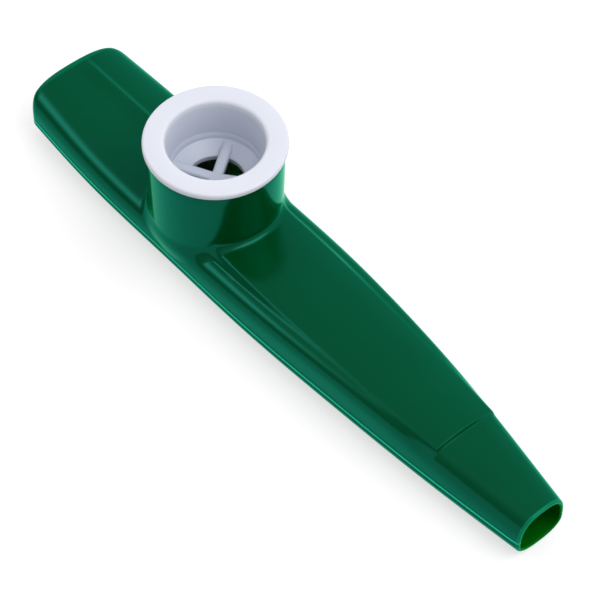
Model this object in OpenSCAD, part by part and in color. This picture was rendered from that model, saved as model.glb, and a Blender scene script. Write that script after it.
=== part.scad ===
// Plastic kazoo: a two-piece moulded housing with a round turret, a push-in white cap,
// a guard ring with a cross, and a clear film held under the ring.
// X runs from the mouth end to the tip, Z is up along the turret, and the underside rests on z = 0.

/* [Body outline] */
// Overall length, mouth end to tip
body_len = 120.5; // [100:0.5:150]
// Width of the mouth end
mouth_w = 20.3; // [18:0.1:21.5]
// How much the body swells on each side behind the mouth end
shoulder_swell = 1.1; // [0.6:0.05:1.6]
// Width beside the turret
waist_w = 22; // [21.5:0.1:23]
// Width just in front of the turret
chest_w = 21.2; // [20:0.1:22.5]
// Width halfway along the label panel
fore_w = 18.5; // [17.5:0.1:20]
// Width at the end of the label panel
neck_w = 14.8; // [14:0.1:16.5]
// Width of the tip
tip_w = 9.1; // [8:0.1:10.5]

/* [Body height] */
// Top of the mouth end above the seam
mouth_rise = 6.5; // [5.8:0.1:7.2]
// Top behind the mouth end above the seam
shoulder_rise = 5.7; // [5:0.1:6.2]
// Top beside the turret above the seam
waist_rise = 5.7; // [5:0.1:6.2]
// Top just in front of the turret above the seam
chest_rise = 6.5; // [5.8:0.1:6.9]
// Top halfway along the label panel above the seam
fore_rise = 7; // [6.2:0.1:7.2]
// Top at the end of the label panel above the seam
neck_rise = 7.1; // [6.4:0.1:7.2]
// Top of the tip above the seam
tip_rise = 6; // [5.2:0.1:6.4]
// Underside of the mouth end below the seam
mouth_drop = 2.8; // [2.4:0.1:3.4]
// Flat underside below the seam
belly_drop = 3.8; // [3.5:0.1:4.5]
// Underside of the tip below the seam
tip_drop = 3.2; // [2.6:0.1:3.6]

/* [Housing] */
// Wall of both shells
wall_t = 1.2; // [1:0.05:1.5]
// Radius of the rounded lip round the mouth opening
mouth_lip_r = 0.5; // [0.2:0.05:0.5]
// Wall at the tip opening
tip_wall_t = 0.75; // [0.6:0.05:1.2]
// Length over which the wall thins out to the tip opening
tip_thin_len = 8; // [4:0.5:14]
// Radius of the rounded lip round the tip opening
tip_lip_r = 0.3; // [0.1:0.05:0.3]
// Radius of the mouth end's corners, seen from above
corner_r = 2.3; // [1.6:0.1:4]
// How much the corners narrow the rim round the mouth opening, on each side
rim_inset = 0.7; // [0.4:0.05:1.4]
// How far the middle of the mouth end bulges past the start of its corners
mouth_bow = 0.65; // [0:0.05:1.2]

/* [Label panel] */
// Distance from the tip to the step that ends the panel
panel_from_tip = 18.2; // [14:0.1:24]
// Top of the panel above the seam
panel_rise = 7.5; // [7.2:0.05:8.2]
// Margin between the panel and the body's sides at the turret
panel_root_margin = 2.9; // [2:0.1:4]
// Margin between the panel and the body's sides halfway along
panel_mid_margin = 2; // [1.2:0.1:3]
// Margin between the panel and the body's sides at the step
panel_end_margin = 0.8; // [0.6:0.05:2]
// Run of the panel's rounded edge
panel_edge = 1; // [0.6:0.05:1.2]
// How much lower the panel lies at its edges than in its middle
panel_crown = 0.2; // [0:0.05:0.4]

/* [Turret] */
// Distance from the mouth end to the turret's axis
turret_from_mouth = 40.6; // [35:0.1:45]
// Outside diameter of the turret
turret_d = 23.1; // [22.8:0.1:24]
// Bore of the turret
turret_bore_d = 19.5; // [19.2:0.1:19.8]
// Rim of the turret above the seam
turret_rise = 20.4; // [18.5:0.1:23]
// Thickness of the ledge that the film lies on
seat_t = 1.4; // [1:0.1:2]
// Hole in the ledge
seat_hole_d = 15.4; // [13:0.1:16.5]

/* [Cap] */
// Diameter of the flange
flange_d = 24.1; // [23.7:0.1:26]
// Thickness of the flange
flange_t = 1.3; // [1:0.1:2]
// Radius of the flange's outer edges
flange_edge_r = 0.45; // [0.2:0.05:0.6]
// Diameter of the cap's bore at the top
cap_bore_top_d = 16.7; // [16:0.1:17.2]
// Diameter of the cap's bore at the sleeve's lower end
cap_bore_low_d = 15.8; // [15:0.1:16.4]
// Radius of the rounded top edge of the bore
bore_edge_r = 0.9; // [0.4:0.05:0.95]
// Length of the sleeve below the flange
sleeve_len = 5.8; // [4.5:0.1:7]

/* [Guard ring] */
// Height of the guard ring
ring_h = 3.7; // [3.4:0.1:4.5]
// Hole in the ring's dished floor
ring_hole_d = 9.8; // [8.8:0.1:10.8]
// Width of each arm of the cross
arm_w = 1.9; // [1.4:0.1:2.2]
// Radius of the arms' rounded upper edges
arm_edge_r = 0.6; // [0.3:0.05:0.65]
// Top of the arms below the ring's top, where they meet the ring
arm_sink = 1.1; // [0.9:0.1:1.3]
// How much lower the middle of the cross lies
cross_dip = 1; // [0.4:0.1:1.2]
// Underside of the cross's middle above the ring's underside
cross_lift = 0.2; // [0.15:0.05:0.4]
// Angle of the cross about the turret's axis
cross_angle = 34; // [0:1:89]

/* [Film] */
// Diameter of the film
film_d = 18.6; // [17:0.1:19]
// Thickness of the film
film_t = 0.15; // [0.1:0.01:0.2]

/* [Fits] */
// Radial clearance of the sleeve and the ring in the turret's bore
slide_gap = 0.06; // [0.04:0.01:0.1]
// Gap between faces that rest on each other and come apart
rest_gap = 0.04; // [0.02:0.01:0.1]

/* [Hidden] */
// Widths, rises and drops at seven even stations from the mouth end to the tip
shoulder_w = mouth_w + 2 * shoulder_swell;
half_widths = [mouth_w, shoulder_w, waist_w, chest_w, fore_w, neck_w, tip_w] / 2;
rises = [mouth_rise, shoulder_rise, waist_rise, chest_rise, fore_rise, neck_rise, tip_rise];
// The belly is level from behind the mouth to the neck; the shares say how much of each station's
// drop is its own end's, and the round belly would reach a little below its flat underside
end_shares = [1, 0.2, 0, 0, 0, 0.3, 1];
flat_share = 0.015;
round_drop = belly_drop * (1 + flat_share);
drops = [for (i = [0:len(end_shares) - 1])
    round_drop + ((i < len(end_shares) / 2 ? mouth_drop : tip_drop) - round_drop) * end_shares[i]];
// How square each station's upper half is: 2 is an ellipse, more is squarer
top_square_shares = [3.4, 3.7, 4, 5.2, 6, 4, 3.4];
// The same for the whole lower half
under_square_share = 2.4;
// Margins beside the panel at its root, middle and step
panel_margins = [panel_root_margin, panel_mid_margin, panel_end_margin];

mouth_x = -body_len / 2;
tip_x = body_len / 2;
// The corners narrow the mouth end to its rim, which lies this far back at its sides
corner_x = mouth_x + mouth_bow + corner_r;
rim_half_w = mouth_w / 2 - rim_inset;
rim_x = corner_x - corner_reach(rim_inset);
seam_z = belly_drop;
turret_x = mouth_x + turret_from_mouth;
turret_top = seam_z + turret_rise;
panel_x0 = turret_x;
panel_x1 = tip_x - panel_from_tip;

slide_r = turret_bore_d / 2 - slide_gap;
sleeve_bottom = turret_top + rest_gap - sleeve_len;
ring_top = sleeve_bottom - rest_gap;
ring_bottom = ring_top - ring_h;
film_bottom = ring_bottom - film_t;
seat_top = film_bottom - rest_gap;
seat_bottom = seat_top - seat_t;

// The turret's wall goes down to the seam only outside the air passage
root_share = 0.9;
root_z = seam_z + waist_rise - root_share * wall_t;
root_half_w = waist_w / 2 - wall_t - root_inset();

// Overrun of all cuts
over = 1;
// Steps round the upper half, round the lower half, round a lip and along the body
top_steps = 32;
under_steps = 20;
lip_steps = 3;
long_steps = 22;
corner_steps = 5;
step_steps = 4;
front_steps = 6;
// The bow of the mouth end fades out over this many corner radii
fade_share = 2.5;
$fn = 96;

// How far the turret's foot stands inside the side wall
function root_inset() = wall_t / 3;

// Smooth curve through evenly spaced values; share runs from 0 to 1
function smooth(values, share) =
    let (last = len(values) - 1)
    let (at = min(max(share, 0), 1) * last)
    let (i = min(floor(at), last - 1))
    let (f = at - i)
    let (p1 = values[i])
    let (p2 = values[i + 1])
    let (p0 = i > 0 ? values[i - 1] : 2 * p1 - p2)
    let (p3 = i + 2 <= last ? values[i + 2] : 2 * p2 - p1)
    (2 * p1 + (p2 - p0) * f + (2 * p0 - 5 * p1 + 4 * p2 - p3) * f * f
        + (3 * p1 - p0 - 3 * p2 + p3) * f * f * f) / 2;

// How far in front of its centre a corner's arc lies where it has narrowed the end by this much
function corner_reach(narrowed) = sqrt(max(0, corner_r * corner_r - pow(corner_r - narrowed, 2)));
// How much a corner's arc narrows the end at this distance in front of its centre
function narrowing(reach) = reach <= 0 ? 0 : corner_r - sqrt(max(0, corner_r * corner_r - reach * reach));

function body_share(x) = (x - mouth_x) / body_len;
function half_w(x) = smooth(half_widths, body_share(x)) - narrowing(corner_x - x);
function rise(x) = smooth(rises, body_share(x));
function drop(x) = smooth(drops, body_share(x));
function top_square(x) = smooth(top_square_shares, body_share(x));

// One when d is well below zero, nothing when it is well above, and an S-curve between
function ramp(d, run) = d <= -run / 2 ? 1 : d >= run / 2 ? 0 : (1 - sin(180 * d / run)) / 2;

function panel_half_w(x) = half_w(x) - smooth(panel_margins, (x - panel_x0) / (panel_x1 - panel_x0));
function panel_cover(x, y) =
    ramp(panel_x0 - x, panel_edge) * ramp(x - panel_x1, panel_edge)
    * ramp(abs(y) - panel_half_w(x), panel_edge);
function panel_top(x, y) = panel_rise - panel_crown * pow(y / panel_half_w(x), 2);

// How far the rim lies behind the mouth end's middle at a distance y from the middle
function rim_back(y) =
    mouth_bow * pow(y / rim_half_w, 2) + narrowing(y - (mouth_w / 2 - corner_r));
// How far a point at a share of the half width is drawn forward by the bow of the mouth end
function bow(x, share) =
    max(0, 1 - (x - rim_x) / (fade_share * corner_r)) * (rim_x - mouth_x - rim_back(share * rim_half_w));

// A point of the upper or lower half at an angle, for a surface that lies inset inside the outside
function top_point(x, angle, inset, panelled) =
    let (square = top_square(x))
    let (share = pow(abs(cos(angle)), 2 / square) * sign(cos(angle)))
    let (y = (half_w(x) - inset) * share)
    let (z = (rise(x) - inset) * pow(abs(sin(angle)), 2 / square))
    let (lift = panelled ? max(0, panel_top(x, y) - z) * panel_cover(x, y) : 0)
    [x - bow(x, abs(share)), y, seam_z + z + lift];
function under_point(x, angle, inset) =
    let (share = pow(abs(cos(angle)), 2 / under_square_share) * sign(cos(angle)))
    let (y = (half_w(x) - inset) * share)
    let (z = (drop(x) - inset) * pow(abs(sin(angle)), 2 / under_square_share))
    [x - bow(x, abs(share)), y, max(seam_z - z, inset)];

// The wall thins out to the tip opening
function wall_at(x) = wall_t + (tip_wall_t - wall_t) * ramp(tip_x - tip_thin_len / 2 - x, tip_thin_len);

// Places along the body: [x, inset of the outside, inset of the inside]
function lip_place(x, inward, r, k) =
    let (a = 90 * k / lip_steps)
    [x + inward * r * (1 - sin(a)), r * (1 - cos(a)), wall_at(x) - r * (1 - cos(a))];
function along(x0, x1, steps, first, last) =
    [for (k = [first:last]) let (x = x0 + (x1 - x0) * k / steps) [x, 0, wall_at(x)]];
places = concat(
    [for (k = [lip_steps:-1:0]) lip_place(rim_x, 1, mouth_lip_r, k)],
    along(rim_x + mouth_lip_r, corner_x, corner_steps, 1, corner_steps),
    along(corner_x, panel_x1 - panel_edge / 2, long_steps, 1, long_steps - 1),
    along(panel_x1 - panel_edge / 2, panel_x1 + panel_edge / 2, step_steps, 0, step_steps),
    along(panel_x1 + panel_edge / 2, tip_x - tip_lip_r, front_steps, 1, front_steps - 1),
    [for (k = [0:lip_steps]) lip_place(tip_x, -1, tip_lip_r, k)]
);

// Closed loop round a half shell's wall at one place: out over the outside, back along the inside
function top_loop(place) = concat(
    [for (k = [top_steps:-1:0]) top_point(place[0], 180 * k / top_steps, place[1], true)],
    [for (k = [0:top_steps]) top_point(place[0], 180 * k / top_steps, place[2], false)]
);
function under_loop(place) = concat(
    [for (k = [0:under_steps]) under_point(place[0], 180 * k / under_steps, place[1])],
    [for (k = [under_steps:-1:0]) under_point(place[0], 180 * k / under_steps, place[2])]
);

// Closed loops joined along the body, with the wall closed between outside and inside at both ends
module shell_solid(loops) {
    m = len(loops[0]);
    last = len(loops) - 1;
    half = m / 2;
    sides = [for (i = [0:last - 1], j = [0:m - 1])
        let (a = i * m + j, b = i * m + (j + 1) % m)
        each [[a, b, b + m], [a, b + m, a + m]]];
    ends = [for (i = [0, last], j = [0:half - 2])
        let (a = i * m + j, b = i * m + m - 1 - j)
        each i == 0 ? [[a, b - 1, a + 1], [a, b, b - 1]] : [[a, a + 1, b - 1], [a, b - 1, b]]];
    polyhedron(points = [for (loop = loops) each loop], faces = concat(sides, ends), convexity = 6);
}

module at_turret(z) {
    translate([turret_x, 0, z]) children();
}

// The turret's wall: a full tube above the housing's roof, and only its flanks down to the seam
module turret_wall() {
    difference() {
        at_turret(seam_z) cylinder(d = turret_d, h = turret_rise);
        translate([turret_x - turret_d, -root_half_w, seam_z - over])
            cube([2 * turret_d, 2 * root_half_w, root_z - seam_z + over]);
    }
}

module upper_shell() {
    color("#025237")
    difference() {
        union() {
            shell_solid([for (place = places) top_loop(place)]);
            turret_wall();
        }
        at_turret(seat_top) cylinder(d = turret_bore_d, h = turret_top - seat_top + over);
        at_turret(seat_bottom - over) cylinder(d = seat_hole_d, h = seat_t + 2 * over);
        at_turret(seam_z - over) cylinder(d = turret_bore_d, h = seat_bottom - seam_z + over);
    }
}

module lower_shell() {
    color("#01391e")
    shell_solid([for (place = places) under_loop(place)]);
}

// Points of a quarter circle between two angles
function arc(centre, r, a0, a1) =
    let (steps = 6)
    [for (k = [0:steps]) let (a = a0 + (a1 - a0) * k / steps) centre + r * [cos(a), sin(a)]];

module cap() {
    flange_r = flange_d / 2;
    top_r = cap_bore_top_d / 2;
    low_r = cap_bore_low_d / 2;
    color("#e6e9f2")
    at_turret(turret_top + rest_gap)
    rotate_extrude()
    polygon(concat(
        [[slide_r, 0]],
        arc([flange_r - flange_edge_r, flange_edge_r], flange_edge_r, -90, 0),
        arc([flange_r - flange_edge_r, flange_t - flange_edge_r], flange_edge_r, 0, 90),
        arc([top_r + bore_edge_r, flange_t - bore_edge_r], bore_edge_r, 90, 180),
        [[low_r, -sleeve_len], [slide_r, -sleeve_len]]
    ));
}

// Section of an arm with its top at zero, flat below and rounded along both upper edges
module arm_section() {
    arm_h = ring_h - arm_sink - cross_dip - cross_lift;
    translate([-arm_w / 2, -arm_h]) square([arm_w, arm_h - arm_edge_r]);
    translate([arm_edge_r - arm_w / 2, -arm_h]) square([arm_w - 2 * arm_edge_r, arm_h]);
    for (side = [-1, 1])
    translate([side * (arm_w / 2 - arm_edge_r), -arm_edge_r]) circle(r = arm_edge_r);
}

module guard_ring() {
    top_r = cap_bore_low_d / 2;
    hole_r = ring_hole_d / 2;
    // The dished floor steps in from the top to the hole, by shares of its width and of its height
    dish_in_shares = [0, 0.1, 0.14, 0.5, 1];
    dish_down_shares = [0, 0.16, 0.3, 0.47, 0.73];
    dish = [for (k = [0:len(dish_in_shares) - 1])
        [top_r - (top_r - hole_r) * dish_in_shares[k], -ring_h * dish_down_shares[k]]];
    arm_reach = top_r - (top_r - hole_r) * dish_in_shares[1];
    climb = atan2(cross_dip, arm_reach);
    color("#dfe2ea") {
        at_turret(ring_top)
        rotate_extrude()
        polygon(concat(dish, [[hole_r, -ring_h], [slide_r, -ring_h], [slide_r, 0]]));
        // Four arms climb a little from the middle to the ring; each starts past the middle
        for (turn = [0:90:270])
        at_turret(ring_top - arm_sink - cross_dip)
        rotate([0, -climb, cross_angle + turn])
        translate([-arm_w / 2, 0, 0])
        rotate([90, 0, 90])
        linear_extrude(arm_reach + arm_w / 2)
        arm_section();
    }
}

module membrane() {
    color("#e8f0f2", 0.4)
    at_turret(film_bottom) cylinder(d = film_d, h = film_t);
}

upper_shell();
lower_shell();
cap();
guard_ring();
membrane();
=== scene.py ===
"""A green moulded kazoo with a white cap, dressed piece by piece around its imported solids.

All sizes are in millimetres and become metres when a mesh is made. X runs from the mouth end to
the tip, Z is up along the turret, and the underside rests on the floor.
"""
import math

import bmesh
import bpy
import numpy as np
from mathutils import Matrix, Vector


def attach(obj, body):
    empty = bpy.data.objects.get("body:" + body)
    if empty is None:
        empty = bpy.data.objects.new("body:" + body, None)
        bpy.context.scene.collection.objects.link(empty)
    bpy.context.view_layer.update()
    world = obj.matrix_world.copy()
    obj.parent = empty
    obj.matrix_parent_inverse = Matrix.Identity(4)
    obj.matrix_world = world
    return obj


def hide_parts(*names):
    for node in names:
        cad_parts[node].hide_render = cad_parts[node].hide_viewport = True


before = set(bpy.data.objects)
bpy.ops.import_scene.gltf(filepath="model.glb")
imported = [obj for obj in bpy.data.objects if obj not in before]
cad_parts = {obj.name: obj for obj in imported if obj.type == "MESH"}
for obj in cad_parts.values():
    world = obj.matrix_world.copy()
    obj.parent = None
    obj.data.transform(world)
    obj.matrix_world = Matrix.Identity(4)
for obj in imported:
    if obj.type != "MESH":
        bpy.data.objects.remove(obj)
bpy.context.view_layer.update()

# Upper half of the housing: one injection moulding in glossy green plastic, with the raised
# label panel and the round turret that the cap is pushed into. It is joined to the lower half
# along the flat side seam, just under a fine bead.

# Half width, roof above the seam, and squareness of seven even sections from mouth end to tip.
body_len = 120.5
seam_z = 3.8
half_widths = [10.15, 11.25, 11, 10.6, 9.25, 7.4, 4.85]
rises = [6.5, 5.7, 5.7, 6.5, 7, 7.1, 6]
squares = [3.5, 3.9, 4.3, 6, 7.5, 4.6, 2.9]
mouth_x = -body_len / 2
tip_x = body_len / 2

# The wall, its rounded rims at both openings, and its softened edge along the seam.
wall_t = 1.2
mouth_lip_r = 0.5
tip_wall_t = 0.75
tip_thin_len = 8
tip_lip_r = 0.3
seam_edge_r = 0.16

# The mouth end seen from above: rounded corners and a slight bulge that fades out behind them.
corner_r = 2.3
mouth_bow = 0.65
rim_inset = 0.7
corner_x = mouth_x + mouth_bow + corner_r
rim_half_w = half_widths[0] - rim_inset
rim_x = corner_x - math.sqrt(corner_r ** 2 - (corner_r - rim_inset) ** 2)
bow_run = 2.5 * corner_r

# The turret, its bore, and the ledge in it that the film lies on.
turret_x = -19.65
turret_rim_r = 11.6
turret_root_r = 11.3
turret_seam_r = 10.95
turret_top = 24.2
turret_edge_r = 0.35
bore_r = 9.75
seat_hole_r = 7.7
seat_top = 14.51
seat_bottom = 13.11

# The raised label panel, which starts at the turret and ends in a low step towards the tip.
panel_end_x = 42.05
panel_margins = [3.2, 2.4, 0.9]
panel_rise = 7.75
panel_crown = 0.45
panel_roll = 0.35
panel_edge = 1.2
panel_step = 0.45

# The fine line that the mould leaves on the roof of the mouth end.
line_start_x = mouth_x + 3
line_end_x = turret_x - 9
line_fade = 4
line_start_y = 2.2
line_end_y = 3.5
line_rise = 0.36
line_near_r = 1.7
line_far_r = 0.5

# The fine bead just above the seam.
bead_out = 0.2
bead_up = 0.85
bead_r = 0.16
bead_start_x = mouth_x + 3
bead_start_fade = 3
bead_end_x = tip_x - 1
bead_end_fade = 1.5

# The hollow where the turret runs into the roof: wider on its flanks, nearly none at the seam.
foot_r = 1.1
foot_flank_r = 2.2
foot_side_r = 0.25
foot_h = 5
foot_lag = 0.1
foot_low = 2.6
foot_square = 4

# How far the part of the mesh round the turret's foot reaches, outside and inside.
patch_reach = 15
patch_split = 9.9
inner_split = 6.4


def curve_through(values, share):
    """A smooth curve through evenly spaced values; share runs from 0 to 1 along it."""
    values = np.asarray(values, float)
    last = len(values) - 1
    ties = np.eye(last + 1)
    pulls = np.zeros(last + 1)
    for i in range(1, last):
        ties[i, i - 1:i + 2] = 1, 4, 1
        pulls[i] = 6 * (values[i - 1] - 2 * values[i] + values[i + 1])
    bends = np.linalg.solve(ties, pulls)
    at = np.clip(share, 0, 1) * last
    i = np.minimum(np.floor(at).astype(int), last - 1)
    f = at - i
    g = 1 - f
    swing = ((g ** 3 - g) * bends[i] + (f ** 3 - f) * bends[i + 1]) / 6
    return g * values[i] + f * values[i + 1] + swing


def body_share(x):
    """How far along the body a place is, from 0 at the mouth end to 1 at the tip."""
    return (np.asarray(x, float) - mouth_x) / body_len


def narrowing(reach):
    """How much a corner's arc narrows the mouth end at this distance in front of its centre."""
    reach = np.clip(reach, 0, corner_r)
    return corner_r - np.sqrt(corner_r ** 2 - reach ** 2)


def half_w(x):
    """Half the body's width at a place."""
    return curve_through(half_widths, body_share(x)) - narrowing(corner_x - x)


def rise(x):
    """The plain roof's height above the seam at a place."""
    return curve_through(rises, body_share(x))


def ramp(d, run):
    """One when d is well below zero, nothing when it is well above, and an S-curve between."""
    return (1 - np.sin(np.clip(d / run, -0.5, 0.5) * math.pi)) / 2


def ease(share):
    """A share between 0 and 1 that starts and ends gently."""
    return share * share * (3 - 2 * share)


def panel_half_w(x):
    """Half the label panel's width at a place."""
    return half_w(x) - curve_through(panel_margins, (x - turret_x) / (panel_end_x - turret_x))


def wall_at(x):
    """The wall, which thins out to the tip opening."""
    return wall_t + (tip_wall_t - wall_t) * ramp(tip_x - tip_thin_len / 2 - x, tip_thin_len)


def panel_lift(x, y, height):
    """How much the label panel stands above the plain roof of this height."""
    edge = panel_half_w(x)
    cover = ramp(turret_x - x, panel_edge) * ramp(x - panel_end_x, panel_step)
    cover = cover * ramp(np.abs(y) - edge, panel_edge)
    across = (y / edge) ** 2
    top = panel_rise - panel_crown * across - panel_roll * across ** 3
    return np.maximum(0, top - height) * cover


def mould_line(x, y):
    """The fine raised line on the roof behind the mouth: steep to the far side, gentle to the near."""
    middle = line_start_y + (line_end_y - line_start_y) * (x - mouth_x) / (line_end_x - mouth_x)
    ends = ramp(x - turret_x, line_fade) * ramp(line_start_x - x, line_fade)
    width = np.where(y < middle, line_near_r, line_far_r)
    return ends * line_rise * np.exp(-((y - middle) / width) ** 2)


def seam_bead(x, height):
    """How far the fine bead just above the seam stands out."""
    ends = ramp(bead_start_x - x, bead_start_fade) * ramp(x - bead_end_x, bead_end_fade)
    return ends * bead_out * np.exp(-((height - bead_up) / bead_r) ** 2)


def bow(x, share):
    """How far the bulging mouth end draws a point forward, at a share of the half width."""
    y = np.abs(share) * rim_half_w
    back = mouth_bow * (y / rim_half_w) ** 2 + narrowing(y - (half_widths[0] - corner_r))
    return np.maximum(0, 1 - (x - rim_x) / bow_run) * (rim_x - mouth_x - back)


def rounded(z):
    """How far the outside draws in just above or below the seam."""
    return seam_edge_r - np.sqrt(seam_edge_r ** 2 - np.maximum(0, seam_edge_r - np.abs(z)) ** 2)


def roof_point(x, lean, inset, outside):
    """A point of the upper half; lean is the angle from straight up, to either side."""
    n = curve_through(squares, body_share(x))
    s, c = np.sin(lean), np.cos(lean)
    size = (np.abs(s) ** n + np.abs(c) ** n) ** (1 / n)
    share, up = s / size, c / size
    y = (half_w(x) - inset) * share
    z = (rise(x) - inset) * np.maximum(up, 0)
    if outside:
        y = y - np.sign(y) * (rounded(z) - seam_bead(x, z))
        z = z + panel_lift(x, y, z) + mould_line(x, y)
    return np.stack(np.broadcast_arrays(x - bow(x, share), y, seam_z + z), -1)


# Rows close to the seam, by their distance from it along the section.
close_steps = [0, 0.05, 0.1, 0.16, 0.22, 0.28, 0.34, 0.4, 0.46, 0.52, 0.58, 0.64, 0.7,
               0.76, 0.82, 0.88, 0.94, 1, 1.1, 1.25]


def even_leans(point, x, inset, marks, steps, half_count=800):
    """Angles that space a section's points evenly between marks on its half width."""
    fine = np.linspace(-math.pi / 2, math.pi / 2, 2 * half_count + 1)
    line = point(x, fine, inset)
    run = np.concatenate(([0], np.cumsum(np.linalg.norm(np.diff(line, axis=0), axis=1))))
    half = run[-1] / 2
    at = [half - np.interp(m, line[half_count:, 1], run[half_count:] - half) for m in marks]
    stops = [close_steps[-1]] + at + [half]
    side = list(close_steps[:-1])
    for a, b, n in zip(stops, stops[1:], steps):
        side += list(a + (b - a) * np.arange(n) / n)
    side.append(half)
    side = np.array(side)
    places = np.concatenate((side, 2 * half - side[-2::-1]))
    return np.interp(places, run, fine)


roof_steps = (16, 16, 8, 24)
edge_out_limit = 0.9
edge_in_limit = 0.66
crest_half_w = 4.2
crest_limit = 0.5


def roof_section(x, inset, outside):
    """One row of the upper half, from the near seam over the roof to the far seam."""
    edge = float(panel_half_w(x))
    w = float(half_w(x)) - inset
    marks = [min(edge + panel_edge / 2, edge_out_limit * w),
             min(edge - panel_edge / 2, edge_in_limit * w),
             min(crest_half_w, crest_limit * w)]
    leans = even_leans(lambda a, b, c: roof_point(a, b, c, outside), x, inset, marks, roof_steps)
    return roof_point(x, leans, inset, outside)


def lip_places(x, inward, r, steps=7):
    """Rows over the rounded lip of an open end: place, inset outside, inset inside."""
    turns = np.linspace(math.pi / 2, 0, steps + 1)
    shrink = r * (1 - np.cos(turns))
    rows = np.stack((x + inward * r * (1 - np.sin(turns)), shrink, wall_at(x) - shrink), -1)
    return rows if inward > 0 else rows[::-1]


def plain_places(*stops):
    """Rows along the body between stops, each given as a place and the steps up to the next."""
    xs = []
    for (a, n), (b, _) in zip(stops, stops[1:]):
        xs += list(a + (b - a) * np.arange(1, n + 1) / n)
    return np.stack((xs, np.zeros(len(xs)), wall_at(np.array(xs))), -1)


bow_rows = 12
mouth_rows = 32
panel_rows = 58
step_rows = 12
tip_rows = 28
back_x = turret_x - patch_reach
front_x = turret_x + patch_reach
step_x0 = panel_end_x - panel_step / 2
step_x1 = panel_end_x + panel_step / 2
mouth_places = np.concatenate((
    lip_places(rim_x, 1, mouth_lip_r),
    plain_places((rim_x + mouth_lip_r, bow_rows), (corner_x, mouth_rows), (back_x, 0))))
front_places = np.concatenate((
    [[front_x, 0, wall_t]],
    plain_places((front_x, panel_rows), (step_x0, step_rows), (step_x1, tip_rows),
                 (tip_x - tip_lip_r, 0))[:-1],
    lip_places(tip_x, -1, tip_lip_r)))


def turret_r(height):
    """The turret's radius at a height above the seam; it widens upwards and slims to the seam."""
    climb = (height - foot_h) / (turret_top - seam_z - foot_h)
    draft = turret_root_r + (turret_rim_r - turret_root_r) * climb
    slim = np.clip(1 - height / foot_h, 0, 1)
    return draft - (turret_root_r - turret_seam_r) * ease(slim)


def soft_union(a, b, r):
    """The distance to two forms joined with a hollow of radius r where they meet."""
    hollow = np.hypot(np.maximum(r - a, 0), np.maximum(r - b, 0))
    return np.maximum(r, np.minimum(a, b)) - hollow


least = 1e-6


def roof_distance(p, inset, outside):
    """About how far a point is from the upper half without its turret."""
    x, y, z = p[..., 0], p[..., 1], p[..., 2] - seam_z
    w, h = half_w(x) - inset, rise(x) - inset
    n = curve_through(squares, body_share(x))
    if outside:
        roof = h * np.maximum(0, 1 - np.minimum(1, np.abs(y) / w) ** n) ** (1 / n)
        z = z - panel_lift(x, y, roof) - mould_line(x, y)
    a, b = np.abs(y) / w, np.maximum(z, 0) / h
    size = np.maximum((a ** n + b ** n) ** (1 / n), least)
    slope = np.hypot((a / size) ** (n - 1) / w, (b / size) ** (n - 1) / h)
    return (size - 1) / np.maximum(slope, least)


def outside_field(p):
    """About how far a point is from the upper half's outer skin, turret and soft foot included."""
    height = p[..., 2] - seam_z
    up = np.clip(height / foot_h - foot_lag, 0, 1)
    away = np.hypot(p[..., 0] - turret_x, p[..., 1])
    flank = np.clip(np.abs(p[..., 1]) / np.maximum(away, 1), 0, 1) ** 2
    full_r = foot_r + (foot_flank_r - foot_r) * flank
    r = foot_side_r + (full_r - foot_side_r) * ease(up)
    joined = soft_union(roof_distance(p, 0, True), away - turret_r(height), r)
    return joined + rounded(height) - seam_bead(p[..., 0], height)


def inside_field(p):
    """The same for the inner skin and the turret's bore."""
    ring = np.hypot(p[..., 0] - turret_x, p[..., 1]) - bore_r
    return soft_union(roof_distance(p, wall_t, False), ring, foot_side_r)


feel = 1e-4
least_slope = 1e-3
longest_move = 0.6


def settle(points, field, along=(1, 1, 1), turns=14):
    """Moves points onto the surface where the field is zero."""
    points = points.copy()
    for _ in range(turns):
        value = field(points)
        slope = np.zeros_like(points)
        for k in np.flatnonzero(along):
            nudge = np.zeros(3)
            nudge[k] = feel
            slope[..., k] = (field(points + nudge) - field(points - nudge)) / (2 * feel)
        size = np.maximum((slope ** 2).sum(-1), least_slope)
        points -= slope * np.clip(value / size, -longest_move, longest_move)[..., None]
    return points


def even_columns(lines, steps):
    """Each line's points spaced evenly along it, in this many steps."""
    spans = np.linalg.norm(np.diff(lines, axis=1), axis=2)
    out = []
    for line, span in zip(lines, spans):
        run = np.concatenate(([0], np.cumsum(span)))
        at = np.linspace(0, run[-1], steps + 1)
        out.append(np.stack([np.interp(at, run, line[:, k]) for k in range(3)], -1))
    return np.array(out)


first_places = 31
rough_steps = 60
last_turns = 5


def foot_patch(field, ring_r, ring_z, edge, turns, steps):
    """Rows of points from a loop on the housing up to a ring on the turret's wall or bore."""
    top = np.stack((turret_x + ring_r * np.cos(turns), ring_r * np.sin(turns),
                    np.full(len(turns), ring_z)), -1)
    foot = top.copy()
    w, h = half_w(foot[:, 0]), rise(foot[:, 0])
    share = np.minimum(1, np.abs(foot[:, 1]) / w)
    roof = h * np.maximum(0, 1 - share ** foot_square) ** (1 / foot_square)
    foot[:, 2] = seam_z + np.maximum(foot_low, roof)
    t = np.linspace(0, 1, first_places)[None, :, None]
    lines = np.concatenate((edge[:, None] * (1 - t) + foot[:, None] * t,
                            (foot[:, None] * (1 - t) + top[:, None] * t)[:, 1:]), 1)
    for count in (rough_steps, steps):
        lines = even_columns(lines, count)
        held = lines[:, [0, -1]].copy()
        lines = settle(lines, field)
        lines[:, 0], lines[:, -1] = held[:, 0], held[:, 1]
    lines = even_columns(lines, steps)
    held = lines[:, [0, -1]].copy()
    lines = settle(lines, field, turns=last_turns)
    lines[:, 0], lines[:, -1] = held[:, 0], held[:, 1]
    return lines


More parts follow.
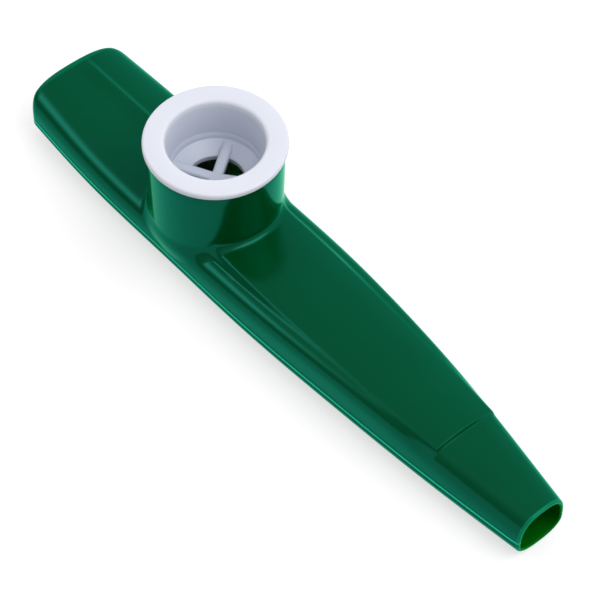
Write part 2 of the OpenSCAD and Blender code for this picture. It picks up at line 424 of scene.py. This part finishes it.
def grid_faces(rows):
    """Four-sided faces between neighbouring rows of point numbers."""
    rows = np.asarray(rows)
    a, b, c, d = rows[:-1, :-1], rows[:-1, 1:], rows[1:, 1:], rows[1:, :-1]
    return np.stack((a, b, c, d), -1).reshape(-1, 4)


def ring_faces(rows):
    """The same for rows that close on themselves."""
    rows = np.asarray(rows)
    return grid_faces(np.concatenate((rows, rows[:, :1]), 1))


side_steps = 64
side_start = 0.3
side_turns = 30
outer_patch_rows = 46
inner_patch_rows = 20


def roof_sheet(outside, first):
    """Points and faces of the outer or inner skin, its outer loop, and its loop round the turret."""
    column = 1 if outside else 2
    mouth = np.array([roof_section(p[0], p[column], outside) for p in mouth_places])
    front = np.array([roof_section(p[0], p[column], outside) for p in front_places])
    field = outside_field if outside else inside_field
    keep = len(close_steps) - 1
    xs = np.linspace(back_x, front_x, side_steps + 1)[1:-1]
    forward = ((xs - back_x) / (front_x - back_x))[:, None]
    inset = 0 if outside else wall_t
    strips = []
    for sign, some in ((-1, slice(0, keep + 1)), (1, slice(-keep - 1, None))):
        heights = mouth[-1, some, 2] * (1 - forward) + front[0, some, 2] * forward
        across = np.repeat(sign * (half_w(xs) - inset + side_start)[:, None], keep + 1, 1)
        strip = np.stack((np.repeat(xs[:, None], keep + 1, 1), across, heights), -1)
        strips.append(settle(strip, field, along=(0, 1, 0), turns=side_turns))
    near, far = strips
    points = [mouth.reshape(-1, 3), front.reshape(-1, 3), near.reshape(-1, 3), far.reshape(-1, 3)]
    starts = first + np.cumsum([0] + [len(p) for p in points])
    mouth_ids, front_ids, near_ids, far_ids = (
        start + np.arange(part[..., 0].size).reshape(part.shape[:2])
        for start, part in zip(starts, (mouth, front, near, far)))
    loop = np.concatenate((front_ids[0, keep:-keep], far_ids[::-1, 0],
                           mouth_ids[-1, keep:-keep][::-1], near_ids[:, -1]))
    edge = np.concatenate((front[0, keep:-keep], far[::-1, 0],
                           mouth[-1, keep:-keep][::-1], near[:, -1]))
    run = np.linalg.norm(np.roll(edge, -1, 0) - edge, axis=1)
    run = np.concatenate(([0], np.cumsum(run)[:-1])) / run.sum()
    middle = run[mouth.shape[1] // 2 - keep]
    turns = (run - middle) * 2 * math.pi
    ring_r = turret_r(patch_split) if outside else bore_r
    ring_z = seam_z + (patch_split if outside else inner_split)
    patch = foot_patch(field, ring_r, ring_z, edge, turns,
                       outer_patch_rows if outside else inner_patch_rows)
    inner = patch[:, 1:].transpose(1, 0, 2)
    patch_ids = starts[4] + np.arange(inner[..., 0].size).reshape(inner.shape[:2])
    points.append(inner.reshape(-1, 3))
    near_rows = np.concatenate((mouth_ids[-1:, :keep + 1], near_ids, front_ids[:1, :keep + 1]))
    far_rows = np.concatenate((mouth_ids[-1:, -keep - 1:], far_ids, front_ids[:1, -keep - 1:]))
    faces = [grid_faces(rows)[:, ::-1] for rows in (mouth_ids, front_ids, near_rows, far_rows)]
    faces.append(ring_faces(np.concatenate((loop[None], patch_ids))))
    rim = np.concatenate((
        mouth_ids[:, 0], near_ids[:, 0], front_ids[:, 0], front_ids[-1, 1:-1],
        front_ids[::-1, -1], far_ids[::-1, -1], mouth_ids[::-1, -1], mouth_ids[0, -2:0:-1]))
    return np.concatenate(points), np.concatenate(faces), rim, patch_ids[-1], turns


def soften(profile, edges, steps=5):
    """A lathe profile of (radius, height) points with its marked corners rounded."""
    out = []
    for k, (corner, r) in enumerate(zip(profile, edges)):
        corner = np.array(corner, float)
        if r == 0:
            out.append(corner)
            continue
        before = np.array(profile[k - 1], float) - corner
        after = np.array(profile[(k + 1) % len(profile)], float) - corner
        a, b = before / np.linalg.norm(before), after / np.linalg.norm(after)
        half = math.acos(np.clip(a @ b, -1, 1)) / 2
        reach = r / math.tan(half)
        centre = corner + (a + b) / np.linalg.norm(a + b) * r / math.sin(half)
        p, q = corner + a * reach - centre, corner + b * reach - centre
        sweep = math.pi - 2 * half
        turn = math.copysign(sweep, p[0] * q[1] - p[1] * q[0])
        for t in np.linspace(0, turn, steps + 1):
            c, s = math.cos(t), math.sin(t)
            out.append(centre + np.array([c * p[0] - s * p[1], s * p[0] + c * p[1]]))
    return np.array(out)


def make_piece(name, points, faces):
    """A smooth mesh object in metres from points in millimetres, faces turned outwards."""
    mesh = bpy.data.meshes.new(name)
    mesh.from_pydata((np.asarray(points) / 1000).tolist(), [], [list(map(int, f)) for f in faces])
    mesh.validate()
    mesh.polygons.foreach_set("use_smooth", [True] * len(mesh.polygons))
    mesh.update()
    volume = 0.0
    mesh.calc_loop_triangles()
    for t in mesh.loop_triangles:
        a, b, c = (mesh.vertices[v].co for v in t.vertices)
        volume += a.dot(b.cross(c))
    if volume < 0:
        mesh.flip_normals()
    piece = bpy.data.objects.new(name, mesh)
    bpy.context.scene.collection.objects.link(piece)
    return piece


outer_points, outer_faces, outer_rim, outer_ring, turns = roof_sheet(True, 0)
inner_points, inner_faces, inner_rim, inner_ring, inner_turns = roof_sheet(False, len(outer_points))
wall_heights = (seam_z + patch_split, 16, 18, 20, 22, turret_top)
bore_heights = (20, 17)
bore_edge_r = 0.25
seat_corner_r = 0.15
seat_edge_r = 0.2
wall_profile = [
    *[(turret_r(z - seam_z), z) for z in wall_heights],
    (bore_r, turret_top), *[(bore_r, z) for z in bore_heights],
    (bore_r, seat_top), (seat_hole_r, seat_top), (seat_hole_r, seat_bottom),
    (bore_r, seat_bottom), (bore_r, seam_z + inner_split)]
wall_edges = [0, 0, 0, 0, 0, turret_edge_r, bore_edge_r, 0, 0,
              seat_corner_r, seat_edge_r, seat_edge_r, seat_corner_r, 0]
wall_rows = soften(wall_profile, wall_edges)[1:-1]
mix = np.linspace(0, 1, len(wall_rows))[:, None]
around = turns * (1 - mix) + inner_turns * mix
rings = np.stack((turret_x + wall_rows[:, :1] * np.cos(around), wall_rows[:, :1] * np.sin(around),
                  np.repeat(wall_rows[:, 1:], len(turns), 1)), -1)
ring_start = len(outer_points) + len(inner_points)
ring_ids = ring_start + np.arange(rings[..., 0].size).reshape(rings.shape[:2])
housing_top = make_piece(
    "housing_top",
    np.concatenate((outer_points, inner_points, rings.reshape(-1, 3))),
    np.concatenate((
        outer_faces,
        inner_faces[:, ::-1],
        ring_faces(np.stack((inner_rim, outer_rim))),
        ring_faces(np.concatenate((outer_ring[None], ring_ids, inner_ring[None]))))))


class Flow:
    """A value in a material's nodes, worked on with plain arithmetic."""

    def __init__(self, tree, socket=None):
        self.tree = tree
        self.socket = socket

    def node(self, kind, settings=None, sockets=None, out=0):
        """A new node of this kind: its settings first, then its sockets' values or links."""
        new = self.tree.nodes.new(kind)
        for name, value in (settings or {}).items():
            if name == "stops":
                ramp_stops = new.color_ramp.elements
                while len(ramp_stops) < len(value):
                    ramp_stops.new(0.5)
                for stop, (place, shade) in zip(ramp_stops, value):
                    stop.position = place
                    stop.color = shade
            else:
                setattr(new, name, value)
        for name, value in (sockets or {}).items():
            if isinstance(value, Flow):
                self.tree.links.new(value.socket, new.inputs[name])
            else:
                new.inputs[name].default_value = value
        return Flow(self.tree, new.outputs[out] if len(new.outputs) else None)

    def sum(self, action, a, b):
        """A Math node of this action on two values."""
        return self.node("ShaderNodeMath", {"operation": action}, {0: a, 1: b})

    def __add__(self, other):
        return self.sum("ADD", self, other)

    def __radd__(self, other):
        return self.sum("ADD", other, self)

    def __sub__(self, other):
        return self.sum("SUBTRACT", self, other)

    def __rsub__(self, other):
        return self.sum("SUBTRACT", other, self)

    def __mul__(self, other):
        return self.sum("MULTIPLY", self, other)

    def __rmul__(self, other):
        return self.sum("MULTIPLY", other, self)

    def __pow__(self, other):
        return self.sum("POWER", self, other)


def hue(code):
    """A colour as the shader takes it, from its six-figure code on the usual display curve."""
    parts = [int(code[k:k + 2], 16) / 255 for k in (0, 2, 4)]
    lit = [p / 12.92 if p <= 0.04045 else ((p + 0.055) / 1.055) ** 2.4 for p in parts]
    return (*lit, 1)


def new_finish(name):
    """An empty material and the start of its nodes."""
    finish = bpy.data.materials.new(name)
    finish.use_nodes = True
    finish.node_tree.nodes.clear()
    return finish, Flow(finish.node_tree)


def band(place, axis, low, high, soft):
    """One between two places along an axis, in millimetres, and nothing beyond them."""
    at = place.node("ShaderNodeSeparateXYZ", {}, {0: place}, out=axis)
    rise_in = at.node("ShaderNodeMapRange", {"interpolation_type": "SMOOTHSTEP"}, {
        "Value": at, "From Min": (low - soft) / 1000, "From Max": (low + soft) / 1000})
    fall_out = at.node("ShaderNodeMapRange", {"interpolation_type": "SMOOTHSTEP"}, {
        "Value": at, "From Min": (high - soft) / 1000, "From Max": (high + soft) / 1000})
    return rise_in - fall_out


def moulded_plastic(name, deep, bright, gloss, grain, veil=None, light_and_shade_bands=(), mirror=0.5):
    """Injection-moulded plastic: faint flow marks, a slightly wavy skin, fine handling marks, and
    bands of painted light or shade.
    """
    finish, start = new_finish(name)
    place = start.node("ShaderNodeTexCoord", out="Object")
    flow = start.node("ShaderNodeTexNoise", {}, {
        "Vector": place, "Scale": 55.0, "Detail": 3.0, "Roughness": 0.5})
    skin = start.node("ShaderNodeTexNoise", {}, {
        "Vector": place, "Scale": 420.0, "Detail": 2.0, "Roughness": 0.45})
    specks = start.node("ShaderNodeTexNoise", {}, {
        "Vector": place, "Scale": 2600.0, "Detail": 2.0, "Roughness": 0.6})
    colour = start.node("ShaderNodeMix", {"data_type": "RGBA"}, {
        0: flow ** 2.0, 6: hue(deep), 7: hue(bright)}, out=2)
    # Each band paints a highlight, a glow or a shade into the colour, between two places along an
    # axis.
    for axis, low, high, soft, share, tone in light_and_shade_bands:
        colour = start.node("ShaderNodeMix", {"data_type": "RGBA"}, {
            0: share * band(place, axis, low, high, soft), 6: colour, 7: hue(tone)}, out=2)
    rough = gloss + 0.05 * flow + grain * specks
    bump = start.node("ShaderNodeBump", {}, {
        "Strength": 0.12, "Distance": 0.00004, "Height": skin + 0.2 * specks})
    skin_out = start.node("ShaderNodeBsdfPrincipled", {}, {
        "Base Color": colour, "Roughness": rough, "Normal": bump, "IOR": 1.5,
        "Specular IOR Level": mirror, "Coat Weight": 1.0 if veil else 0.0, "Coat IOR": 1.04,
        "Coat Roughness": 0.1, "Coat Tint": hue(veil or "ffffff")})
    start.node("ShaderNodeOutputMaterial", {}, {"Surface": skin_out})
    return finish


green_plastic = moulded_plastic(
    "green_plastic", "003c1a", "004424", 0.14, 0.03, veil="5cffea", light_and_shade_bands=[
        # Painted highlight: a pale line painted along the bead just above the seam.
        ("Z", seam_z + bead_up - 0.1, seam_z + bead_up + 0.15, 0.12, 0.9, "b8ead8"),
        # Painted highlights: lighter rims painted round the rounded lips of the mouth and tip
        # openings.
        ("X", mouth_x - 1, mouth_x + 1.2, 0.25, 0.16, "3fa883"),
        ("X", tip_x - 0.5, tip_x + 1, 0.12, 0.3, "3fa883")])
# Painted light: the inside is painted a lighter green than the outside, and lighter again under the
# turret, standing for light that comes in through the turret's bore and the thin walls.
inner_green = moulded_plastic(
    "inner_green", "02561a", "035e20", 0.45, 0.1, veil="48ff70", mirror=0.3, light_and_shade_bands=[
        ("X", turret_x - bore_r, turret_x + bore_r, 3, 0.8, "08b070")])


def finish_shell(piece, outside_count, inside_count):
    """The polished green outside, and the duller inside, whose lighter green is painted light."""
    piece.data.materials.append(green_plastic)
    piece.data.materials.append(inner_green)
    for face in piece.data.polygons[outside_count:outside_count + inside_count]:
        face.material_index = 1


finish_shell(housing_top, len(outer_faces), len(inner_faces))
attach(housing_top, "housing")
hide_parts("upper_shell")

# Lower half of the housing: a shallow trough moulded in the same green plastic, level under the
# belly so that it lies still, and joined to the upper half all along the seam.

belly_drop = 3.8
mouth_drop = 2.8
tip_drop = 3.2
end_shares = [1, 0.2, 0, 0, 0, 0.3, 1]
belly_spare = 1.015
round_drop = belly_drop * belly_spare
end_drops = [mouth_drop] * 4 + [tip_drop] * 3
drops = [round_drop + (end - round_drop) * share for end, share in zip(end_drops, end_shares)]
under_square = 2.4
flank_share = 0.8
floor_share = 0.5
level_half_w = 1
trough_steps = (18, 16, 18, 12)
middle_rows = 20


def trough_point(x, lean, inset):
    """A point of the lower half; lean is the angle from straight down, to either side."""
    s, c = np.sin(lean), np.cos(lean)
    size = (np.abs(s) ** under_square + np.abs(c) ** under_square) ** (1 / under_square)
    share, down = s / size, np.maximum(c, 0) / size
    y = (half_w(x) - inset) * share
    z = (curve_through(drops, body_share(x)) - inset) * down
    if inset < wall_t / 2:
        y = y - np.sign(y) * rounded(z)
    return np.stack(np.broadcast_arrays(x - bow(x, share), y, np.maximum(seam_z - z, inset)), -1)


def trough_section(x, inset):
    """One row of the lower half, from the near seam under the belly to the far seam."""
    w = float(half_w(x)) - inset
    leans = even_leans(trough_point, x, inset, [flank_share * w, floor_share * w, level_half_w],
                       trough_steps)
    return trough_point(x, leans, inset)


trough_places = np.concatenate((
    mouth_places, plain_places((back_x, middle_rows), (front_x, 0))[:-1], front_places))
outer_rows = np.array([trough_section(p[0], p[1]) for p in trough_places])
inner_rows = np.array([trough_section(p[0], p[2]) for p in trough_places])
ids = np.arange(outer_rows[..., 0].size).reshape(outer_rows.shape[:2])


def round_the_edge(ids):
    """The point numbers round the outer loop of a grid."""
    return np.concatenate((ids[:, 0], ids[-1, 1:-1], ids[::-1, -1], ids[0, -2:0:-1]))


housing_bottom = make_piece(
    "housing_bottom",
    np.concatenate((outer_rows.reshape(-1, 3), inner_rows.reshape(-1, 3))),
    np.concatenate((
        grid_faces(ids)[:, ::-1], grid_faces(ids + ids.size),
        ring_faces(np.stack((round_the_edge(ids + ids.size), round_the_edge(ids)))))))
finish_shell(housing_bottom, len(grid_faces(ids)), len(grid_faces(ids)))
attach(housing_bottom, "housing")
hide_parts("lower_shell")

# Film: a thin clear plastic disc that lies on the ledge in the turret and buzzes. It is punched
# from sheet, so it is flat, and it is so clear that it hardly shows under the guard ring.

film_r = 9.3
film_middle_r = 0.2 * film_r
film_bottom = 14.55
film_t = 0.15
film_edge_r = 0.04


def turned(name, profile, edges, steps=160, closed=True):
    """A piece turned about the turret's axis from a profile of (radius, height) points."""
    rows = soften(profile, edges)
    angles = np.arange(steps) * 2 * math.pi / steps
    points = np.stack((turret_x + rows[:, :1] * np.cos(angles), rows[:, :1] * np.sin(angles),
                       np.repeat(rows[:, 1:], steps, 1)), -1)
    ids = np.arange(points[..., 0].size).reshape(points.shape[:2])
    if closed:
        return make_piece(name, points.reshape(-1, 3), ring_faces(np.concatenate((ids, ids[:1]))))
    caps = [list(ids[0, ::-1]), list(ids[-1])]
    return make_piece(name, points.reshape(-1, 3), [*ring_faces(ids), *caps])


film = turned(
    "film",
    [(film_middle_r, film_bottom), (film_r, film_bottom), (film_r, film_bottom + film_t),
     (film_middle_r, film_bottom + film_t)],
    [0, film_edge_r, film_edge_r, 0], closed=False)
clear_film, start = new_finish("clear_film")
place = start.node("ShaderNodeTexCoord", out="Object")
crinkle = start.node("ShaderNodeTexNoise", {}, {"Vector": place, "Scale": 260.0, "Detail": 2.0})
bump = start.node("ShaderNodeBump", {}, {
    "Strength": 0.3, "Distance": 0.0001, "Height": crinkle})
sheet = start.node("ShaderNodeBsdfPrincipled", {}, {
    "Base Color": hue("e8f0f2"), "Roughness": 0.08 + 0.1 * crinkle, "Alpha": 0.002,
    "IOR": 1.5, "Normal": bump})
start.node("ShaderNodeOutputMaterial", {}, {"Surface": sheet})
film.data.materials.append(clear_film)
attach(film, "film_holder")
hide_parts("membrane")

# Guard ring: a small white moulding with a stepped, dished floor and a cross of four arms. It
# drops into the bore, holds the film down at its rim and keeps fingers off it.

slide_r = 9.69
ring_top = 18.4
ring_h = 3.7
dish_top_r = 7.9
ring_hole_r = 4.9
arm_count = 4
arm_w = 1.9
arm_edge_r = 0.6
arm_edge_places = 7
arm_foot_edge = 0.12
arm_sink = 1.1
arm_overlap = 0.05
arm_places = 9
cross_dip = 1
cross_lift = 0.2
cross_angle = 34
weld_gap = 0.000004
dish_in = [0, 0.1, 0.14, 0.5, 1]
dish_down = [0, 0.16, 0.3, 0.47, 0.73]
dish_edges = [0.12, 0.2, 0.2, 0.2, 0.15]
ring_edges = [0.1, 0.15, 0.12]
dish = [(dish_top_r - (dish_top_r - ring_hole_r) * a, ring_top - ring_h * b)
        for a, b in zip(dish_in, dish_down)]
guard_ring = turned(
    "cross_guard",
    dish + [(ring_hole_r, ring_top - ring_h), (slide_r, ring_top - ring_h), (slide_r, ring_top)],
    dish_edges + ring_edges)


def arm_rows(turn):
    """One arm of the cross, rounded along its upper edges, from past the middle out to the ring."""
    half = arm_w / 2
    deep = ring_h - arm_sink - cross_dip - cross_lift
    reach = dish_top_r - (dish_top_r - ring_hole_r) * dish_in[1]
    climb = math.atan2(cross_dip, reach)
    arc = np.linspace(0, math.pi / 2, arm_edge_places)
    loop = [(half - arm_foot_edge, -deep), (half, arm_foot_edge - deep)]
    loop += [(half - arm_edge_r * (1 - math.cos(a)), -arm_edge_r * (1 - math.sin(a))) for a in arc]
    loop += [(-y, z) for y, z in reversed(loop)]
    c, s = math.cos(turn), math.sin(turn)
    rows = []
    for d in np.linspace(-half, reach + arm_overlap, arm_places):
        points = [(d * math.cos(climb) - z * math.sin(climb), y,
                   d * math.sin(climb) + z * math.cos(climb)) for y, z in loop]
        rows.append([(turret_x + c * x - s * y, s * x + c * y, ring_top - arm_sink - cross_dip + z)
                     for x, y, z in points])
    return np.array(rows)


for k in range(arm_count):
    rows = arm_rows(math.radians(cross_angle + 360 / arm_count * k))
    bar_ids = np.arange(rows[..., 0].size).reshape(rows.shape[:2])
    bar = make_piece("cross_arm", rows.reshape(-1, 3),
                     [*ring_faces(bar_ids), list(bar_ids[0, ::-1]), list(bar_ids[-1])])
    weld = guard_ring.modifiers.new("weld", "BOOLEAN")
    weld.operation = "UNION"
    weld.solver = "MANIFOLD"
    weld.object = bar
    bpy.context.view_layer.update()
    welded = bpy.data.meshes.new_from_object(
        guard_ring.evaluated_get(bpy.context.evaluated_depsgraph_get()))
    guard_ring.modifiers.clear()
    guard_ring.data = welded
    bpy.data.objects.remove(bar)

# The welds leave slivers, which are closed up.
tidy_ring = bmesh.new()
tidy_ring.from_mesh(guard_ring.data)
bmesh.ops.remove_doubles(tidy_ring, verts=tidy_ring.verts, dist=weld_gap)
bmesh.ops.dissolve_degenerate(tidy_ring, edges=tidy_ring.edges, dist=weld_gap)
bmesh.ops.triangulate(tidy_ring, faces=[face for face in tidy_ring.faces if len(face.verts) > 4])
tidy_ring.to_mesh(guard_ring.data)
tidy_ring.free()

# Painted shade: the white plastic is painted a little greyer inside the bore, and greyer again on the
# ring at its bottom, where less light reaches.
painted_shade_start = 10
painted_shade_bore_top = 24.3
painted_shade_ring_top = 18.42
white_plastic = moulded_plastic("white_plastic", "dde0eb", "e5e8f2", 0.34, 0.05, light_and_shade_bands=[
    ("Z", painted_shade_start, painted_shade_bore_top, 0.4, 0.5, "bac2d2"),
    ("Z", painted_shade_start, painted_shade_ring_top, 0.1, 0.4, "a9b1c0")])
guard_ring.data.materials.clear()
guard_ring.data.materials.append(white_plastic)
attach(guard_ring, "film_holder")
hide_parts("guard_ring")

# Cap: a white moulding whose wide flange lies on the turret's rim and whose tapered sleeve is
# pushed into the bore, down onto the guard ring.

flange_r = 12.05
flange_bottom = 24.24
flange_t = 1.3
flange_edge_r = 0.45
flange_root_r = 0.1
cap_bore_top_r = 8.35
cap_bore_low_r = 7.9
cap_bore_edge_r = 0.7
sleeve_len = 5.8
sleeve_in_r = 0.12
sleeve_out_r = 0.2
cap = turned(
    "white_cap",
    [(slide_r, flange_bottom), (flange_r, flange_bottom), (flange_r, flange_bottom + flange_t),
     (cap_bore_top_r, flange_bottom + flange_t), (cap_bore_low_r, flange_bottom - sleeve_len),
     (slide_r, flange_bottom - sleeve_len)],
    [flange_root_r, flange_edge_r, flange_edge_r, cap_bore_edge_r, sleeve_in_r, sleeve_out_r],
    steps=240)
cap.data.materials.append(white_plastic)
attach(cap, "cap")
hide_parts("cap")

# Table and surroundings: a plain white table that the kazoo lies on, in a white tent that glows
# evenly and has one soft brighter strip on the near side. A soft light stands high on the far right.

floor_reach = 3
floor_corners = [(-1, -1), (1, -1), (1, 1), (-1, 1)]
floor_mesh = bpy.data.meshes.new("floor")
floor_mesh.from_pydata([(floor_reach * x, floor_reach * y, 0) for x, y in floor_corners], [],
                       [(0, 1, 2, 3)])
floor = bpy.data.objects.new("floor", floor_mesh)
bpy.context.scene.collection.objects.link(floor)
floor_white, start = new_finish("floor_white")
seen = start.node("ShaderNodeLightPath", out="Is Camera Ray")
for ray in ("Is Glossy Ray", "Is Transmission Ray"):
    seen = seen.sum("MAXIMUM", seen, start.node("ShaderNodeLightPath", out=ray))
glare = start.node("ShaderNodeMix", {"data_type": "RGBA"}, {
    0: seen * 0.6, 6: (0, 0, 0, 1), 7: (1, 1, 1, 1)}, out=2)
matt = start.node("ShaderNodeBsdfPrincipled", {}, {
    "Base Color": (0.47, 0.47, 0.47, 1), "Roughness": 0.6, "Specular IOR Level": 0.1,
    "Emission Color": glare, "Emission Strength": 1.0})
start.node("ShaderNodeOutputMaterial", {}, {"Surface": matt})
floor.data.materials.append(floor_white)

world = bpy.data.worlds.new("studio")
bpy.context.scene.world = world
world.use_nodes = True
world.node_tree.nodes.clear()
start = Flow(world.node_tree)
sky = start.node("ShaderNodeTexCoord", out="Generated")
along, across, high = (start.node("ShaderNodeSeparateXYZ", {}, {0: sky}, out=k) for k in "XYZ")
lean = high.sum("ARCTAN2", -1 * across, high) * (180 / math.pi)
tent = start.node("ShaderNodeValToRGB", {"stops": [
    (0.0, (1, 1, 1, 1)), (0.25, (1, 1, 1, 1)), (0.35, (0.78, 0.78, 0.78, 1)),
    (0.45, (0.72, 0.72, 0.72, 1)), (0.64, (0.8, 0.8, 0.8, 1)), (0.8, (0.45, 0.45, 0.45, 1)),
    (0.96, (0.38, 0.38, 0.38, 1)), (1.0, (0.5, 0.5, 0.5, 1))]}, {0: lean * (1 / 180) + 0.5})


def hump(value, middle, reach):
    """A smooth rise around a middle value, nothing beyond its reach."""
    off = (value - middle) * (1 / reach)
    rest = off.sum("MAXIMUM", 1 - off * off, 0.0)
    return rest * rest


strip_lean = 38
strip_half_angle = 24
strip_along = -0.55
strip_half_len = 0.2
strip_gain = 4.6
strip = hump(lean, strip_lean, strip_half_angle) * hump(along, strip_along, strip_half_len)
glow = start.node("ShaderNodeBackground", {}, {
    "Color": tent, "Strength": 1 + strip_gain * strip})
start.node("ShaderNodeOutputWorld", {}, {"Surface": glow})

softbox_place = Vector((0.34, 0.16, 0.68))
lamp = bpy.data.lights.new("overhead", "AREA")
lamp.shape = "SQUARE"
lamp.size = 0.5
lamp.energy = 2.1
softbox = bpy.data.objects.new("overhead", lamp)
softbox.location = softbox_place
softbox.rotation_euler = (-softbox_place).to_track_quat("-Z", "Y").to_euler()
bpy.context.scene.collection.objects.link(softbox)

# Camera: above the near side and towards the tip, with a long lens, as the photograph was taken.
# It looks at the seam's height close to the middle of the body and is rolled by about a degree.

azimuth, elevation, roll = (math.radians(a) for a in (48.71, 52.62, 1.37))
distance = 0.4161
shift_right = -0.00097
shift_up = 0.00053
aim = Vector((0.00075, 0, seam_z / 1000))
back = Vector((math.sin(azimuth) * math.cos(elevation),
               -math.cos(azimuth) * math.cos(elevation), math.sin(elevation)))
right = (-back).cross(Vector((0, 0, 1))).normalized()
up = right.cross(-back)
right, up = (math.cos(roll) * right + math.sin(roll) * up,
             math.cos(roll) * up - math.sin(roll) * right)
lens = bpy.data.cameras.new("camera")
lens.lens = 150
lens.sensor_width = 36
lens.clip_start = 0.01
camera = bpy.data.objects.new("camera", lens)
spot = back * distance - right * shift_right - up * shift_up + aim
camera.matrix_world = Matrix.Translation(spot) @ Matrix((right, up, back)).transposed().to_4x4()
bpy.context.scene.collection.objects.link(camera)
bpy.context.scene.camera = camera
bpy.context.scene.view_settings.view_transform = "Standard"
